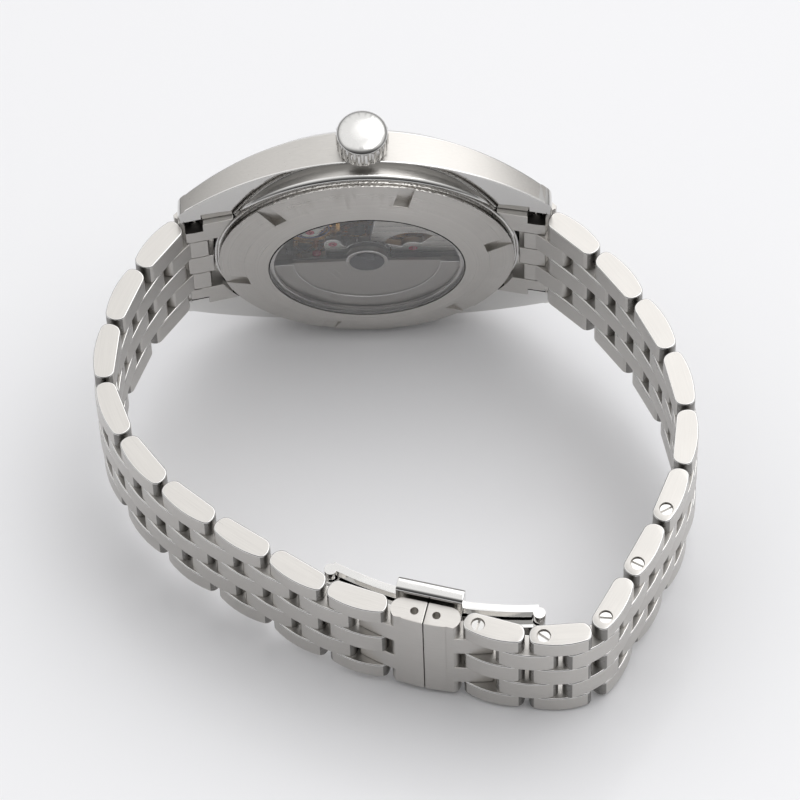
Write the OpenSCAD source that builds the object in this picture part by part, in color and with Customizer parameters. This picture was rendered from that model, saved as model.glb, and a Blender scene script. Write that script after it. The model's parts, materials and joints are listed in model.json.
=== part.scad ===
// Self-winding wristwatch on a five-row steel bracelet with a double-folding clasp.
// Modules are drawn in the watch frame: x to 3 o'clock, y to 12 o'clock, z out of the dial.
// stand() then lays the watch on its 9 o'clock side, as it rests on a table.

/* [Watch head] */
// Radius of the round middle under the lugs
body_r = 18.9; // [17.5:0.1:20]
// How far the flanks stand out past the round middle
flank_over = 1.1; // [0.8:0.1:2]
// How far the lug tips reach past the round middle
lug_len = 4.0; // [3.5:0.1:5]
// Height where the brushed flank starts, above the back
flank_z0 = 3.7; // [3:0.1:4.5]
// Height where the brushed flank ends
flank_z1 = 8.2; // [7.8:0.1:9]
// Drop of the lug tips along the upper edge
lug_drop_top = 4.8; // [3:0.1:6]
// Drop of the lug tips along the lower edge
lug_drop_low = 2.5; // [1:0.1:3]
// Gap between the lugs
lug_gap = 20; // [18:0.5:22]
// Half width over the lug tips
lug_tip_half = 12.2; // [11.5:0.1:14]
// Step from the round middle in to the screwed back
back_step = 0.6; // [0.4:0.1:1]
// Radius of the back window glass
back_glass_r = 12.2; // [10:0.1:13]
// Number of key notches in the back
back_notches = 6; // [4:1:8]

/* [Crown] */
// Radius of the crown
crown_r = 3.2; // [2.5:0.1:3.6]
// Length of the crown
crown_len = 3.6; // [2.5:0.1:4.5]
// Number of flutes round the crown
crown_flutes = 22; // [16:1:30]
// How far the crown pulls out
crown_pull = 1.1; // [0.5:0.1:1.3]

/* [Bracelet] */
// Pitch of the links
pitch = 8.0; // [7:0.1:9]
// Thickness of a link
link_t = 2.9; // [2.4:0.1:3.4]
// Gap between two links of one row
row_gap = 0.28; // [0.2:0.02:0.8]
// Radius of the domed outer face of a link
dome_r = 12; // [10:0.5:30]
// Width of each of the three middle rows
row_w = 3.9; // [3:0.1:4.2]
// Running clearance between the rows
row_clear = 0.06; // [0.04:0.01:0.15]
// Width of the bracelet at the clasp
clasp_w = 18; // [16:0.1:19]
// Radius of the link pins
pin_r = 0.5; // [0.4:0.05:0.7]
// Running clearance round a pin
pin_clear = 0.05; // [0.04:0.01:0.1]
// Bend at each link from the 12 o'clock lugs to the clasp
bend_12h = [10.5, 10, 14, 19.5, 16, 6.5, 1.5, 57, 20.5];
// Bend at each link from the 6 o'clock lugs to the clasp
bend_6h = [15, 17, 27, 17.5, 14, 6, 0.5, 14];
// Slope of the first 12 o'clock link
slope_12h = 43; // [30:1:60]
// Slope of the first 6 o'clock link
slope_6h = 51; // [30:1:60]
// Number of screwed links next to the clasp
screw_links = 5; // [0:1:8]

/* [Clasp] */
// Length of each clasp wing from the seam
wing_len = 4.4; // [4:0.1:6]
// Slope of the closed clasp
clasp_slope = 14.6; // [0:0.1:25]
// Radius that the folding leaves follow
leaf_curve = 50; // [40:1:80]
// Length of a folding leaf along its curve
leaf_len = 13; // [11:0.1:13.5]
// Half width of the folding leaves
leaf_half = 4.3; // [3.5:0.1:4.5]
// Thickness of leaves and plate
leaf_t = 1.0; // [0.8:0.05:1.1]
// Free space between the folded layers
leaf_gap = 0.2; // [0.15:0.05:0.3]
// How far the push buttons stand out
button_out = 1.3; // [1:0.1:2]
// Travel of a push button
button_travel = 0.7; // [0.3:0.1:0.75]

/* [Movement] */
// Radius of the main plate
plate_r = 12.95; // [12:0.05:13.5]
// Radius of the rotor
rotor_r = 11.8; // [10:0.1:12]
// Pitch radius of the barrel
barrel_r = 5.1; // [4.5:0.1:5.2]
// Pitch radius of the centre wheel
centre_r = 4.2; // [3.8:0.1:4.4]
// Pitch radius of the third wheel
third_r = 3.4; // [3:0.1:3.5]
// Pitch radius of the fourth wheel
fourth_r = 2.9; // [2.6:0.1:3]
// Distance of the small seconds from the centre
seconds_y = 6.2; // [5.8:0.1:6.6]
// Radius of the balance wheel
balance_r = 3.7; // [3.2:0.1:3.9]
// Turns of the hairspring
spring_turns = 4; // [3:1:5]
// Distance between two turns of the hairspring
spring_pitch = 0.55; // [0.52:0.01:0.6]

/* [Hidden] */
$fn = 96;
steel = [0.80, 0.81, 0.82];
satin = [0.70, 0.71, 0.72];
gilt = [0.80, 0.62, 0.30];
eps = 0.01;
far = 60;

// Heights in the head, from the wrist up
back_case_z = 2.0;
neck_z = 3.3;
bridge_z0 = 2.75;
bridge_z1 = 3.65;
plate_z0 = 5.1;
plate_z1 = 6.3;
dial_z0 = 7.0;
dial_z1 = 7.4;
glass_z0 = 8.75;
glass_z1 = 9.95;
stem_z = 5.9;

// Widths in the head, all from the round middle
case_half = body_r + flank_over;
lug_half = body_r + lug_len;
back_r = body_r - back_step;
bore_r = body_r - 2.5;
view_r = bore_r - 1;
seal_r = bore_r + 1.1;
bezel_r = body_r - 0.3;
glass_r = bore_r;

// Bracelet layout in the y, z plane
n_12h = len(bend_12h) + 1;
n_6h = len(bend_6h) + 1;
half = pitch / 2;
end_r = (half - row_gap) / 2;
first_pin = [lug_half + 1.2, 0.2];
wing_reach = wing_len + pitch / 4;
function dir(a) = [cos(a), sin(a)];
function sum_to(v, k) = k == 0 ? 0 : v[k - 1] + sum_to(v, k - 1);
function heads(h0, bends, trim) = [for (k = [0:len(bends)]) -h0 - sum_to(bends, k) - trim * k];
function pin_a(h, k) = k == 0 ? first_pin : pin_b(h, k - 1) + half * dir((h[k - 1] + h[k]) / 2);
function pin_b(h, k) = pin_a(h, k) + half * dir(h[k]);
// The two halves meet at the clasp: an even trim of the bends on each side closes the loop
function seam_12h(t) = pin_b(heads(slope_12h, bend_12h, t), n_12h - 1) - wing_reach * dir(-clasp_slope);
function flip(p) = [-p[0], p[1]];
function seam_6h(t) = flip(pin_b(heads(slope_6h, bend_6h, t), n_6h - 1)) + wing_reach * dir(-clasp_slope);
function miss(t) = seam_12h(t[0]) - seam_6h(t[1]);
function close_loop(t, i) = i == 0 ? t :
    let (m = miss(t), d = 0.001,
        a = (miss(t + [d, 0]) - m) / d,
        b = (miss(t + [0, d]) - m) / d,
        det = a[0] * b[1] - a[1] * b[0],
        s = [m[0] * b[1] - m[1] * b[0], a[0] * m[1] - a[1] * m[0]] / det)
    close_loop(t - s, i - 1);
trims = close_loop([0, 0], 12);
h_12h = heads(slope_12h, bend_12h, trims[0]);
h_6h = heads(slope_6h, bend_6h, trims[1]);
seam = seam_6h(trims[1]);
echo(trims = trims, miss = miss(trims), seam = seam);
echo(heads_12h = h_12h);
echo(heads_6h = h_6h);
echo(pins_12h = [for (k = [0:n_12h - 1]) [pin_a(h_12h, k), pin_b(h_12h, k)]]);
echo(pins_6h = [for (k = [0:n_6h - 1]) [pin_a(h_6h, k), pin_b(h_6h, k)]]);

// Clasp layers in the clasp frame: s along the seam line to 12 o'clock, n away from the wrist
wing_pin_s = 1.35;
knuckle_r = 1.0;
leaf_n1 = -link_t / 2 - leaf_gap;
leaf_n0 = leaf_n1 - leaf_t;
plate_n1 = leaf_n0 - leaf_gap;
plate_n0 = plate_n1 - leaf_t;
hinge_n = (leaf_n0 + plate_n1) / 2;
hinge_r = 0.75;
hinge_a = leaf_len / (leaf_curve + hinge_n) * 180 / PI;
hinge_pin = [(leaf_curve + hinge_n) * sin(hinge_a), (leaf_curve + hinge_n) * cos(hinge_a) - leaf_curve];
hinge_pin_r = 0.35;
plate_half = 6;
cheek_t = 0.9;
button_half = 4.1;
button_x0 = plate_half + 0.2 + button_travel;
button_x1 = clasp_w / 2 + button_out;
button_n1 = -link_t / 2 - 0.3;
button_n0 = button_n1 - 1.85;
echo(hinge_pin = hinge_pin, hinge_a = hinge_a);

// Rest on the table: the flank at 9 o'clock and the lower push button carry the watch
low_button = seam[1] - button_half * sin(clasp_slope) - button_n1 * cos(clasp_slope);
tilt = atan((case_half - button_x1) / (flank_z0 - low_button));
lift = case_half * cos(tilt) - flank_z0 * sin(tilt);
shift = [-3.24, 22.31];
echo(tilt = tilt, lift = lift, shift = shift);

module stand() translate([shift[0], shift[1], lift]) rotate([tilt, 0, 0]) rotate(a = -120, v = [1, 1, 1]) children();
// A profile in the y, z plane, drawn from x0 to x1
module side(x0, x1) rotate(a = 120, v = [1, 1, 1]) translate([0, 0, x0]) linear_extrude(x1 - x0) children();
module slab(z0, z1) translate([0, 0, z0]) linear_extrude(z1 - z0) children();
module disc(r, z0, z1, at = [0, 0]) translate([at[0], at[1], z0]) cylinder(r = r, h = z1 - z0);
module ring(ro, ri, z0, z1, at = [0, 0]) slab(z0, z1) translate(at) difference() {
    circle(ro);
    circle(ri);
}

// Case

flank_curve = (lug_half * lug_half + pow(case_half - lug_tip_half, 2)) / (2 * (case_half - lug_tip_half));
top_curve = (lug_half * lug_half + pow(lug_drop_top, 2)) / (2 * lug_drop_top);
low_curve = (lug_half * lug_half + pow(lug_drop_low, 2)) / (2 * lug_drop_low);
bar = [lug_half - 1.9, flank_z0 - 1.15];
bar_r = 0.75;

module flank_plan(grow = 0) intersection() {
    translate([case_half - flank_curve, 0]) circle(flank_curve + grow, $fn = 256);
    translate([flank_curve - case_half, 0]) circle(flank_curve + grow, $fn = 256);
    square([far, 2 * lug_half + 2 * grow], center = true);
}

module flank_side(cut = 0) intersection() {
    translate([0, flank_z1 - top_curve]) circle(top_curve, $fn = 256);
    difference() {
        translate([0, 3]) square([2 * lug_half, 20], center = true);
        translate([0, flank_z0 - low_curve]) circle(low_curve, $fn = 360);
    }
    translate([0, flank_z0 - lug_drop_low + 0.9]) circle(lug_half);
}

module case_middle() color(satin) difference() {
    union() {
        intersection() {
            slab(-5, 12) difference() {
                flank_plan();
                for (s = [-1, 1]) translate([0, s * far / 2]) square([lug_gap, far], center = true);
            }
            side(-far / 2, far / 2) flank_side();
        }
        intersection() {
            slab(-5, 12) flank_plan();
            side(-far / 2, far / 2) flank_side();
            cylinder(r = body_r, h = 20);
        }
        disc(body_r, back_case_z + 0.4, flank_z1);
        translate([0, 0, back_case_z]) cylinder(r1 = body_r - 0.4, r2 = body_r, h = 0.4);
        translate([case_half - 2, 0, stem_z]) rotate([0, 90, 0]) cylinder(r = 1.7, h = 2.9);
    }
    disc(bore_r, back_case_z - 1, dial_z1);
    translate([0, 0, dial_z1 - eps]) cylinder(r1 = view_r - 0.4, r2 = view_r, h = flank_z1 - dial_z1 + 2 * eps);
    ring(seal_r, bore_r - 1, back_case_z - 1, back_case_z + 0.55);
    translate([bore_r - 2, 0, stem_z]) rotate([0, 90, 0]) cylinder(r = 1.0, h = 9);
    for (s = [-1, 1]) translate([0, s * bar[0], bar[1]]) rotate([0, 90, 0])
        cylinder(r = 0.42, h = lug_gap + 2.4, center = true);
}

module bezel() color(steel) difference() {
    union() {
        disc(bezel_r, flank_z1, flank_z1 + 0.7);
        translate([0, 0, flank_z1 + 0.7]) cylinder(r1 = bezel_r, r2 = bezel_r - 1.1, h = glass_z1 - 0.2 - flank_z1 - 0.7);
    }
    disc(view_r, 0, 20);
    disc(glass_r + 0.3, glass_z0, 20);
}

module front_crystal() color([0.85, 0.90, 0.92, 0.35]) {
    disc(glass_r, glass_z0, glass_z1 - 0.25);
    translate([0, 0, glass_z1 - 0.25]) cylinder(r1 = glass_r, r2 = glass_r - 0.25, h = 0.25);
}

module gaskets() color([0.12, 0.12, 0.13]) {
    ring(glass_r + 0.3, glass_r, glass_z0, glass_z1 - 0.4);
    ring(seal_r, bore_r + 0.1, back_case_z, back_case_z + 0.55);
}

module back_ring() color(satin) difference() {
    union() {
        translate([0, 0, 1.2]) cylinder(r = back_r, h = back_case_z - 1.2);
        translate([0, 0, 0]) cylinder(r1 = back_glass_r + 1.2, r2 = back_r - 0.25, h = 1.2);
        disc(bore_r, back_case_z, neck_z);
    }
    disc(back_glass_r, -1, 1.1);
    disc(back_glass_r - 0.7, -1, 20);
    disc(bore_r - 1.1, 1.5, 20);
    for (i = [0:back_notches - 1]) rotate([0, 0, 77 + 360 / back_notches * i])
        translate([back_r - 3.2, -0.95, -1]) cube([5, 1.9, 2.3]);
    ring(back_r + 1, back_r - 0.35, 1.45, 1.7);
}

module back_crystal() color([0.85, 0.90, 0.92, 0.35]) {
    disc(back_glass_r, 0.15, 1.1);
    translate([0, 0, 0]) cylinder(r1 = back_glass_r - 0.15, r2 = back_glass_r, h = 0.15);
}

module casing_ring() color([0.55, 0.56, 0.58]) difference() {
    disc(bore_r, neck_z, dial_z0);
    disc(plate_r, 0, plate_z1);
    disc(plate_r - 0.8, 0, 20);
    translate([8, 0, stem_z]) rotate([0, 90, 0]) cylinder(r = 1.0, h = 12);
}

module dial() color([0.16, 0.17, 0.20]) {
    slab(dial_z0, dial_z1) {
        difference() {
            circle(bore_r);
            circle(11.6);
        }
        difference() {
            union() {
                translate([0, -seconds_y]) circle(3.1);
                translate([-0.6, -12]) square([1.2, 12 - seconds_y]);
            }
            translate([0, -seconds_y]) circle(2.4);
        }
    }
    for (i = [0:11]) rotate([0, 0, 30 * i]) translate([-0.35, i % 3 == 0 ? 12.1 : 12.7, dial_z1])
        cube([0.7, i % 3 == 0 ? 2.7 : 2.1, 0.3]);
}

// Spring bars and the fixed end pieces of the bracelet

module spring_bars() color(steel) for (s = [-1, 1]) translate([0, s * bar[0], bar[1]]) rotate([0, 90, 0]) {
    cylinder(r = bar_r, h = lug_gap - 1.6, center = true);
    cylinder(r = 0.42, h = lug_gap + 2.2, center = true);
}

row_x = [row_w / 2, row_w / 2 + row_clear, row_w * 3 / 2 + row_clear, row_w * 3 / 2 + 2 * row_clear];
finger_from = first_pin - 5 * dir(-35);

module end_body_2d() difference() {
    polygon([[body_r - 3.9, flank_z0 - 1.6], [body_r - 3.9, 6.6], [body_r - 0.4, 6.3], [lug_half - 1.2, 4.4],
        [lug_half + 0.6, 2.6], [lug_half - 0.1, 0.6], [lug_half - 2.2, 0.9]]);
    translate(first_pin) circle(end_r + row_gap);
}

module end_finger_2d(h) difference() {
    intersection() {
        union() {
            translate(first_pin) circle(end_r);
            translate(first_pin) rotate(h) translate([-3.4, -link_t / 2]) square([3.4, link_t]);
        }
        translate(first_pin) rotate(h) translate([-5, -link_t / 2]) square([10, 2 * link_t]);
        translate(first_pin) rotate(h) translate([-half / 2, link_t / 2 - dome_r]) circle(dome_r);
    }
    translate(first_pin) circle(pin_r + pin_clear);
}

module end_piece(h) difference() {
    union() {
        side(-lug_gap / 2 + row_clear, lug_gap / 2 - row_clear) end_body_2d();
        for (s = [-1, 1]) scale([1, 1, 1]) side(s > 0 ? row_x[1] : -row_x[2], s > 0 ? row_x[2] : -row_x[1])
            end_finger_2d(h);
    }
    disc(body_r + row_clear, -1, 20);
    translate([0, bar[0], bar[1]]) rotate([0, 90, 0]) cylinder(r = bar_r, h = lug_gap + 2, center = true);
    for (s = [-1, 1]) translate([s * (lug_gap / 2 - 0.5), bar[0], bar[1] - 2]) cube([2.2, 2.2, 3.4], center = true);
}

module end_links() color(satin) {
    end_piece(h_12h[0] + 4);
    mirror([0, 1, 0]) end_piece(h_6h[0] + 4);
}

// Bracelet links

module link_2d() intersection() {
    union() {
        square([half, 2 * link_t], center = true);
        for (s = [-1, 1]) translate([s * half / 2, 0]) circle(end_r);
    }
    translate([-half * 2, -link_t / 2]) square([half * 4, 2 * link_t]);
    translate([0, link_t / 2 - dome_r]) circle(dome_r);
}

module holed_2d(p, q, rp, rq) difference() {
    translate((p + q) / 2) rotate(atan2(q[1] - p[1], q[0] - p[0])) link_2d();
    translate(p) circle(rp);
    translate(q) circle(rq);
}

function width_at(k, n) = lug_gap - 0.2 + (clasp_w - lug_gap + 0.2) * k / (n - 1);

module bar_x(p, r, x0, x1) translate([x0, p[0], p[1]]) rotate([0, 90, 0]) cylinder(r = r, h = x1 - x0);

// One pitch: three wide-row pieces, two pins and the pair of narrow-row pieces behind them
module link(h, k, n, screwed) {
    a = pin_a(h, k);
    b = pin_b(h, k);
    w = width_at(k, n) / 2;
    blind = 1.1;
    head_r = 0.78;
    for (s = [-1, 1]) difference() {
        side(s > 0 ? row_x[3] : -w, s > 0 ? w : -row_x[3]) holed_2d(a, b, eps, eps);
        bar_x(a, pin_r, -w + blind, w - blind);
        bar_x(b, pin_r, -w + blind, w - blind);
        if (screwed && s > 0) bar_x(b, head_r + 0.06, w - blind, w + 1);
    }
    side(-row_x[0], row_x[0]) holed_2d(a, b, pin_r, pin_r);
    bar_x(a, pin_r, -w + blind, w - blind);
    difference() {
        union() {
            bar_x(b, pin_r, -w + blind, w - blind);
            if (screwed) bar_x(b, head_r, w - blind, w - 0.08);
        }
        if (screwed) translate([w, b[0], b[1]]) rotate([25 * (k % 3), 0, 0]) cube([0.8, 3, 0.26], center = true);
    }
    if (k < n - 1) for (s = [-1, 1]) side(s > 0 ? row_x[1] : -row_x[2], s > 0 ? row_x[2] : -row_x[1])
        holed_2d(b, pin_a(h, k + 1), pin_r, pin_r + pin_clear);
}

module link_12h(k) color(satin) link(h_12h, k, n_12h, k >= n_12h - screw_links);
module link_6h(k) color(satin) mirror([0, 1, 0]) link(h_6h, k, n_6h, false);

// Clasp

module at_clasp() translate([0, seam[0], seam[1]]) rotate([-clasp_slope, 0, 0]) mirror([0, 0, 1]) children();
module pie(r0, r1, a0, a1) translate([0, -leaf_curve]) difference() {
    intersection() {
        circle(leaf_curve + r1, $fn = 360);
        polygon([[0, 0], 2 * leaf_curve * [sin(a0), cos(a0)], 2 * leaf_curve * [sin(a1), cos(a1)]]);
    }
    circle(leaf_curve + r0, $fn = 360);
}

module wing_2d() intersection() {
    translate([0.03, -link_t / 2]) square([wing_len - row_gap / 2 - 0.03, 2 * link_t]);
    translate([0, link_t / 2 - 26]) circle(26);
    union() {
        square([2 * (wing_len - row_gap / 2 - link_t / 2), far], center = true);
        translate([wing_len - row_gap / 2 - link_t / 2, 0]) circle(link_t / 2);
    }
}

module wing_finger_2d() intersection() {
    union() {
        translate([1.5, -link_t]) square([wing_reach - 1.5, 2 * link_t]);
        translate([wing_reach, 0]) circle(end_r);
    }
    translate([0, -link_t / 2]) square([far, 2 * link_t]);
    translate([0, link_t / 2 - 26]) circle(26);
}

module wing(open_pin) {
    difference() {
        union() {
            side(-clasp_w / 2, clasp_w / 2) wing_2d();
            for (s = [-1, 1]) side(s > 0 ? row_x[1] : -row_x[2], s > 0 ? row_x[2] : -row_x[1]) wing_finger_2d();
        }
        side(-leaf_half - 0.12, leaf_half + 0.12) translate([-1, -far + knuckle_r + 0.1])
            square([wing_pin_s + knuckle_r + 1.2, far]);
        bar_x([wing_reach, 0], pin_r + pin_clear, -far, far);
        bar_x([wing_pin_s, 0], pin_r, -clasp_w / 2 + 1, far);
    }
    bar_x([wing_pin_s, 0], pin_r, -clasp_w / 2 + 1, clasp_w / 2 - (open_pin ? 0.15 : 1.0));
}

module leaf(clear) difference() {
    union() {
        side(-leaf_half, leaf_half) {
            translate([wing_pin_s, 0]) circle(knuckle_r);
            translate([wing_pin_s - 0.5, leaf_n0 + 0.4]) square([1.0, -leaf_n0 - 0.4]);
            difference() {
                pie(leaf_n0, leaf_n1, 1, hinge_a);
                translate(hinge_pin) circle(hinge_r + 0.15);
            }
        }
        side(-2, 2) {
            translate(hinge_pin) circle(hinge_r);
            pie(leaf_n0, leaf_n1, hinge_a / 2, hinge_a);
        }
    }
    bar_x([wing_pin_s, 0], pin_r + clear, -far, far);
    bar_x(hinge_pin, hinge_pin_r + pin_clear, -far, far);
}

module clasp_plate() color(steel) at_clasp() difference() {
    union() {
        side(-plate_half, plate_half) difference() {
            pie(plate_n0, plate_n1, -hinge_a, hinge_a);
            for (s = [-1, 1]) translate([s * hinge_pin[0], hinge_pin[1]]) circle(hinge_r - 0.1);
        }
        for (s = [-1, 1], e = [-1, 1]) side(e > 0 ? 2.12 : -plate_half, e > 0 ? plate_half : -2.12)
            translate([s * hinge_pin[0], hinge_pin[1]]) circle(hinge_r);
        for (e = [-1, 1]) side(e > 0 ? plate_half - cheek_t : -plate_half, e > 0 ? plate_half : cheek_t - plate_half)
            pie(plate_n1 - 0.2, button_n1, -4.6, 4.6);
        for (s = [-1, 1]) bar_x([s * hinge_pin[0], hinge_pin[1]], hinge_pin_r, -plate_half, plate_half);
    }
    for (s = [-1, 1]) difference() {
        side(-2.12, 2.12) translate([s * hinge_pin[0], hinge_pin[1]]) circle(hinge_r + 0.15);
        bar_x([s * hinge_pin[0], hinge_pin[1]], hinge_pin_r, -plate_half, plate_half);
    }
    side(-far, far) translate([-1.56, button_n1 - 1.16]) square([3.12, 0.82]);
}

module button() {
    difference() {
        side(button_x0, button_x1) translate([-button_half, button_n0]) square([2 * button_half, button_n1 - button_n0]);
        translate([button_x1, 0, button_n0]) rotate([0, 45, 0]) cube([0.5, far, 0.5], center = true);
        translate([button_x1, 0, button_n1]) rotate([0, 45, 0]) cube([0.5, far, 0.5], center = true);
    }
    side(leaf_half + 0.1 + button_travel, button_x0) translate([-1.5, button_n1 - 1.1]) square([3, 0.7]);
}

module clasp_wing_12h() color(satin) at_clasp() wing(true);
module clasp_wing_6h() color(satin) at_clasp() mirror([0, 1, 0]) wing(false);
module clasp_leaf_12h() color(steel) at_clasp() leaf(0.25);
module clasp_leaf_6h() color(steel) at_clasp() mirror([0, 1, 0]) leaf(pin_clear);
module clasp_button_3h() color(steel) at_clasp() button();
module clasp_button_9h() color(steel) at_clasp() mirror([1, 0, 0]) button();

// Crown and stem

crown_x0 = case_half + 0.35;

module crown() color(steel) difference() {
    translate([crown_x0, 0, stem_z]) rotate([0, 90, 0]) rotate_extrude() polygon([[0, 1.2], [0, crown_len],
        [crown_r - 1.5, crown_len], [crown_r - 0.5, crown_len - 0.25], [crown_r - 0.15, crown_len - 0.55],
        [crown_r, crown_len - 0.9], [crown_r, 0.35], [crown_r - 0.3, 0], [2.0, 0], [2.0, 1.2]]);
    for (i = [0:crown_flutes - 1]) translate([crown_x0 - 1, 0, stem_z]) rotate([360 / crown_flutes * i, 0, 0])
        translate([0, 0, crown_r + 0.12]) rotate([0, 90, 0]) cylinder(r = 0.34, h = crown_len + 0.25, $fn = 24);
}

module winding_stem() color(steel) translate([0, 0, stem_z]) rotate([0, 90, 0]) {
    translate([0, 0, 11.2]) cylinder(r = 0.6, h = crown_x0 + 1.2 - 11.2);
    translate([0, 0, 8.2]) cylinder(r = 0.35, h = 3.0);
}

module clutch_wheel() color(steel) translate([9.4, 0, stem_z]) rotate([0, 90, 0]) difference() {
    union() {
        linear_extrude(0.5) gear_2d(14, 0.85);
        cylinder(r = 0.62, h = 1.4);
    }
    translate([0, 0, -1]) cylinder(r = 0.35 + 0.03, h = 4);
}

// Movement

function third_at() = let (d1 = centre_r + third_pinion_r, d2 = third_r + fourth_pinion_r,
    y = -(seconds_y * seconds_y + d1 * d1 - d2 * d2) / (2 * seconds_y)) [-sqrt(d1 * d1 - y * y), y];
function mesh(a, f, z, zn) = a + 180 - 360 / zn * (0.5 - (a - f) * z / 360);
function angle_to(p, q) = atan2(q[1] - p[1], q[0] - p[0]);
centre_z = 80;
third_pinion_z = 10;
third_z = 75;
fourth_pinion_z = 10;
fourth_z = 80;
escape_pinion_z = 8;
barrel_z = 84;
centre_pinion_z = 12;
third_pinion_r = centre_r * third_pinion_z / centre_z;
fourth_pinion_r = third_r * fourth_pinion_z / third_z;
escape_pinion_r = fourth_r * escape_pinion_z / fourth_z;
centre_pinion_r = barrel_r * centre_pinion_z / barrel_z;
third_p = third_at();
fourth_p = [0, -seconds_y];
escape_a = 40;
escape_p = fourth_p + (fourth_r + escape_pinion_r) * dir(escape_a);
line_a = -41;
pallet_p = escape_p + 2.2 * dir(line_a);
balance_p = escape_p + 4.15 * dir(line_a);
barrel_p = (barrel_r + centre_pinion_r) * dir(80);
minute_p = 2.4 * dir(30);
post_r = 1.0;
echo(barrel_p = barrel_p, third_p = third_p, escape_p = escape_p, pallet_p = pallet_p, balance_p = balance_p);
echo(minute_p = minute_p);

module gear_2d(z, r, f = 0) {
    m = 2 * r / z;
    polygon([for (i = [0:z - 1], j = [0:3]) let (a = f + 360 / z * (i + [-0.27, -0.13, 0.13, 0.27][j]))
        (j == 0 || j == 3 ? r - 1.2 * m : r + 0.85 * m) * dir(a)]);
}

// A train wheel: toothed rim, crossings and hub
module wheel(z, r, z0, z1, f = 0, arms = 5) slab(z0, z1) {
    difference() {
        gear_2d(z, r, f);
        circle(r * 0.8);
    }
    circle(r * 0.2);
    for (i = [0:arms - 1]) rotate(360 / arms * i) translate([r * 0.1, -r * 0.05]) square([r * 0.72, r * 0.1]);
}

feet = [[11.4, 28], [11.4, 140], [11.3, 195], [11.3, 252], [11.2, -17]];
module foot(i, z0 = bridge_z0) rotate([0, 0, feet[i][1]]) disc(1.25, z0, plate_z0, [feet[i][0], 0]);
module foot_cut(i) rotate([0, 0, feet[i][1]]) {
    disc(0.8, 0, bridge_z0 + 0.4, [feet[i][0], 0]);
    disc(0.45, 0, plate_z0 + 0.8, [feet[i][0], 0]);
}
module jewel_cut(p, z = bridge_z0) {
    disc(0.55, z - 1, z + 0.3, p);
    disc(0.2, z - 1, z + 2, p);
}
module sector(r, a0, a1) intersection() {
    circle(r);
    polygon([[0, 0], 2 * r * dir(a0), 2 * r * dir((2 * a0 + a1) / 3), 2 * r * dir((a0 + 2 * a1) / 3), 2 * r * dir(a1)]);
}

module main_plate() color([0.66, 0.67, 0.68]) difference() {
    disc(plate_r, plate_z0, plate_z1);
    disc(0.75, 0, 20);
    for (p = [third_p, escape_p, pallet_p, balance_p]) disc(0.2, 0, 20, p);
    disc(0.35, 0, 20, fourth_p);
    disc(0.5, 0, plate_z0 + 0.8, barrel_p);
    translate([7.4, 0, stem_z]) rotate([0, 90, 0]) cylinder(r = 1.1, h = 8);
    slab(plate_z0 - 1, plate_z1 + 1) {
        for (i = [0:2]) translate(balance_p) rotate(line_a + 60 + 120 * i) difference() {
            sector(2.9, 12, 108);
            circle(0.9);
        }
        for (i = [0:4]) translate(barrel_p) rotate(72 * i + 26) difference() {
            sector(4.2, 8, 64);
            circle(1.1);
        }
        difference() {
            sector(11.2, 150, 206);
            circle(6.4);
            translate(third_p) circle(0.9);
        }
    }
    for (i = [0:4]) rotate([0, 0, feet[i][1]]) disc(0.45, 0, plate_z0 + 0.8, [feet[i][0], 0]);
}

module barrel_bridge() color([0.62, 0.63, 0.64]) difference() {
    union() {
        slab(bridge_z0, bridge_z1) difference() {
            sector(12.7, 8, 160);
            circle(3.2);
            translate([-12, -0.2]) square([10, 3]);
        }
        foot(0);
        foot(1);
    }
    foot_cut(0);
    foot_cut(1);
    jewel_cut(barrel_p);
    slab(bridge_z0 - 1, bridge_z1 + 1) translate(barrel_p) difference() {
        sector(3.9, -70, 40);
        circle(1.5);
    }
}

module train_bridge() color([0.62, 0.63, 0.64]) difference() {
    union() {
        slab(bridge_z0, bridge_z1) {
            circle(2.9);
            difference() {
                sector(12.7, 164, 262);
                circle(2);
                translate(balance_p) circle(balance_r + 0.5);
            }
            translate(escape_p) circle(1.1);
            polygon([[-2, -1], [1, -2.2], escape_p + [0.9, 0.5], escape_p + [0, -1.1], [-3, -5]]);
        }
        foot(2);
        foot(3);
        disc(post_r, 1.75, bridge_z0);
    }
    foot_cut(2);
    foot_cut(3);
    jewel_cut(third_p);
    jewel_cut(fourth_p);
    jewel_cut(escape_p);
    disc(balance_r + 0.4, 3.45, 20, balance_p);
    disc(0.3, bridge_z0 + 0.2, 20);
}

module balance_cock() color([0.62, 0.63, 0.64]) difference() {
    union() {
        slab(bridge_z0, bridge_z0 + 0.5) {
            rotate(feet[4][1]) translate([feet[4][0], 0]) circle(1.25);
            translate(balance_p) circle(1.2);
            translate(balance_p) rotate(angle_to(balance_p, feet[4][0] * dir(feet[4][1]))) translate([0, -0.9])
                square([norm(feet[4][0] * dir(feet[4][1]) - balance_p), 1.8]);
            translate(balance_p + (spring_r1 + 0.25) * dir(spring_end)) circle(0.45);
            translate(balance_p) rotate(spring_end) translate([0, -0.35]) square([spring_r1 + 0.2, 0.7]);
        }
        foot(4);
        disc(0.3, bridge_z0 + 0.4, 3.56, balance_p + (spring_r1 + 0.3) * dir(spring_end));
    }
    foot_cut(4);
    jewel_cut(balance_p);
}

module bridge_screws() color([0.25, 0.30, 0.55]) for (f = feet) rotate([0, 0, f[1]]) difference() {
    union() {
        disc(0.8, bridge_z0 + 0.05, bridge_z0 + 0.4, [f[0], 0]);
        disc(0.45, bridge_z0 + 0.3, plate_z0 + 0.8, [f[0], 0]);
    }
    translate([f[0], 0, bridge_z0]) rotate([0, 0, 35]) cube([3, 0.22, 0.4], center = true);
}

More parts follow.
